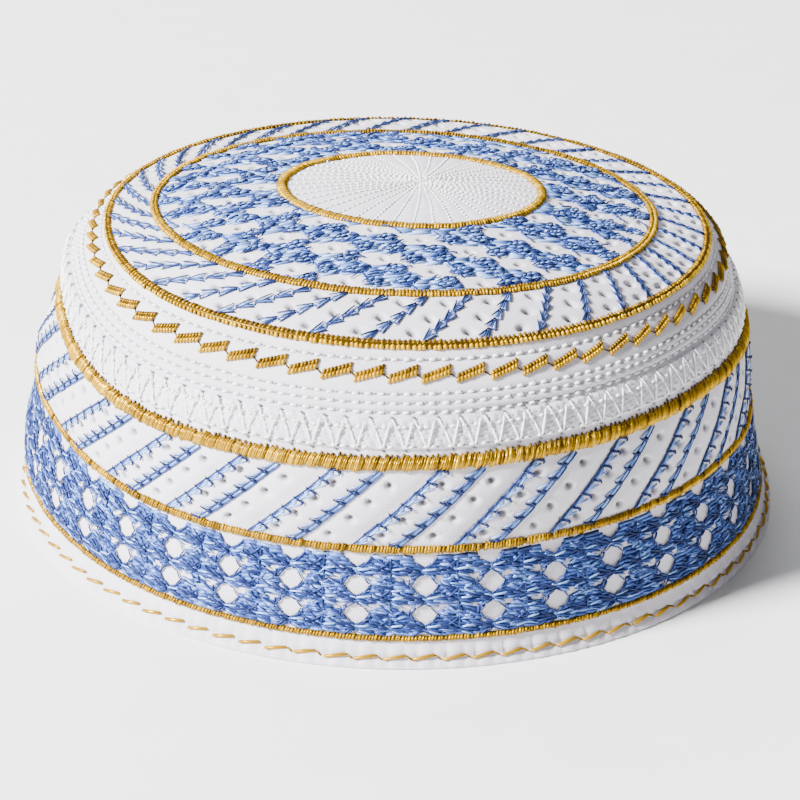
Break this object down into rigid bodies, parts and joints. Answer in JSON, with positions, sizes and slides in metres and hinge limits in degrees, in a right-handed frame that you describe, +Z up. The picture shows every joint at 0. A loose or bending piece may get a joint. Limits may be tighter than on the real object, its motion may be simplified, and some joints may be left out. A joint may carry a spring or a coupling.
{
  "type": "embroidered prayer cap",
  "caption": "Round embroidered prayer cap with a quilted crown, tapering side band, raised thread cords, blue embroidered fields and a turned hem, open below for the head.",
  "frame": {"origin": "middle of the cap on the surface that the hem stands on", "axes": "+Z up through the crown; -Y towards the front of the cap, the side that the picture shows; +X to the right as seen from the front"},
  "size_m": [0.1872, 0.1862, 0.08],
  "materials": {
    "white_cotton": "quilted white cotton with a fine plain weave, slightly glossy where it is machine stitched",
    "gold_thread": "golden yellow rayon satin stitch, silky sheen along each thread",
    "blue_thread": "light and dark blue rayon thread, silky sheen"
  },
  "bodies": {
    "root": {"crown_panel": "white_cotton", "seam_strip": "white_cotton", "side_band": "white_cotton", "hem": "white_cotton", "crown_cord_inner": "gold_thread", "crown_cord_middle": "gold_thread", "crown_cord_outer": "gold_thread", "band_cord_upper": "gold_thread", "band_cord_middle": "gold_thread", "band_cord_lower": "gold_thread", "step_braid": "gold_thread", "crown_field": "blue_thread", "band_field": "blue_thread"}
  },
  "joints": []
}
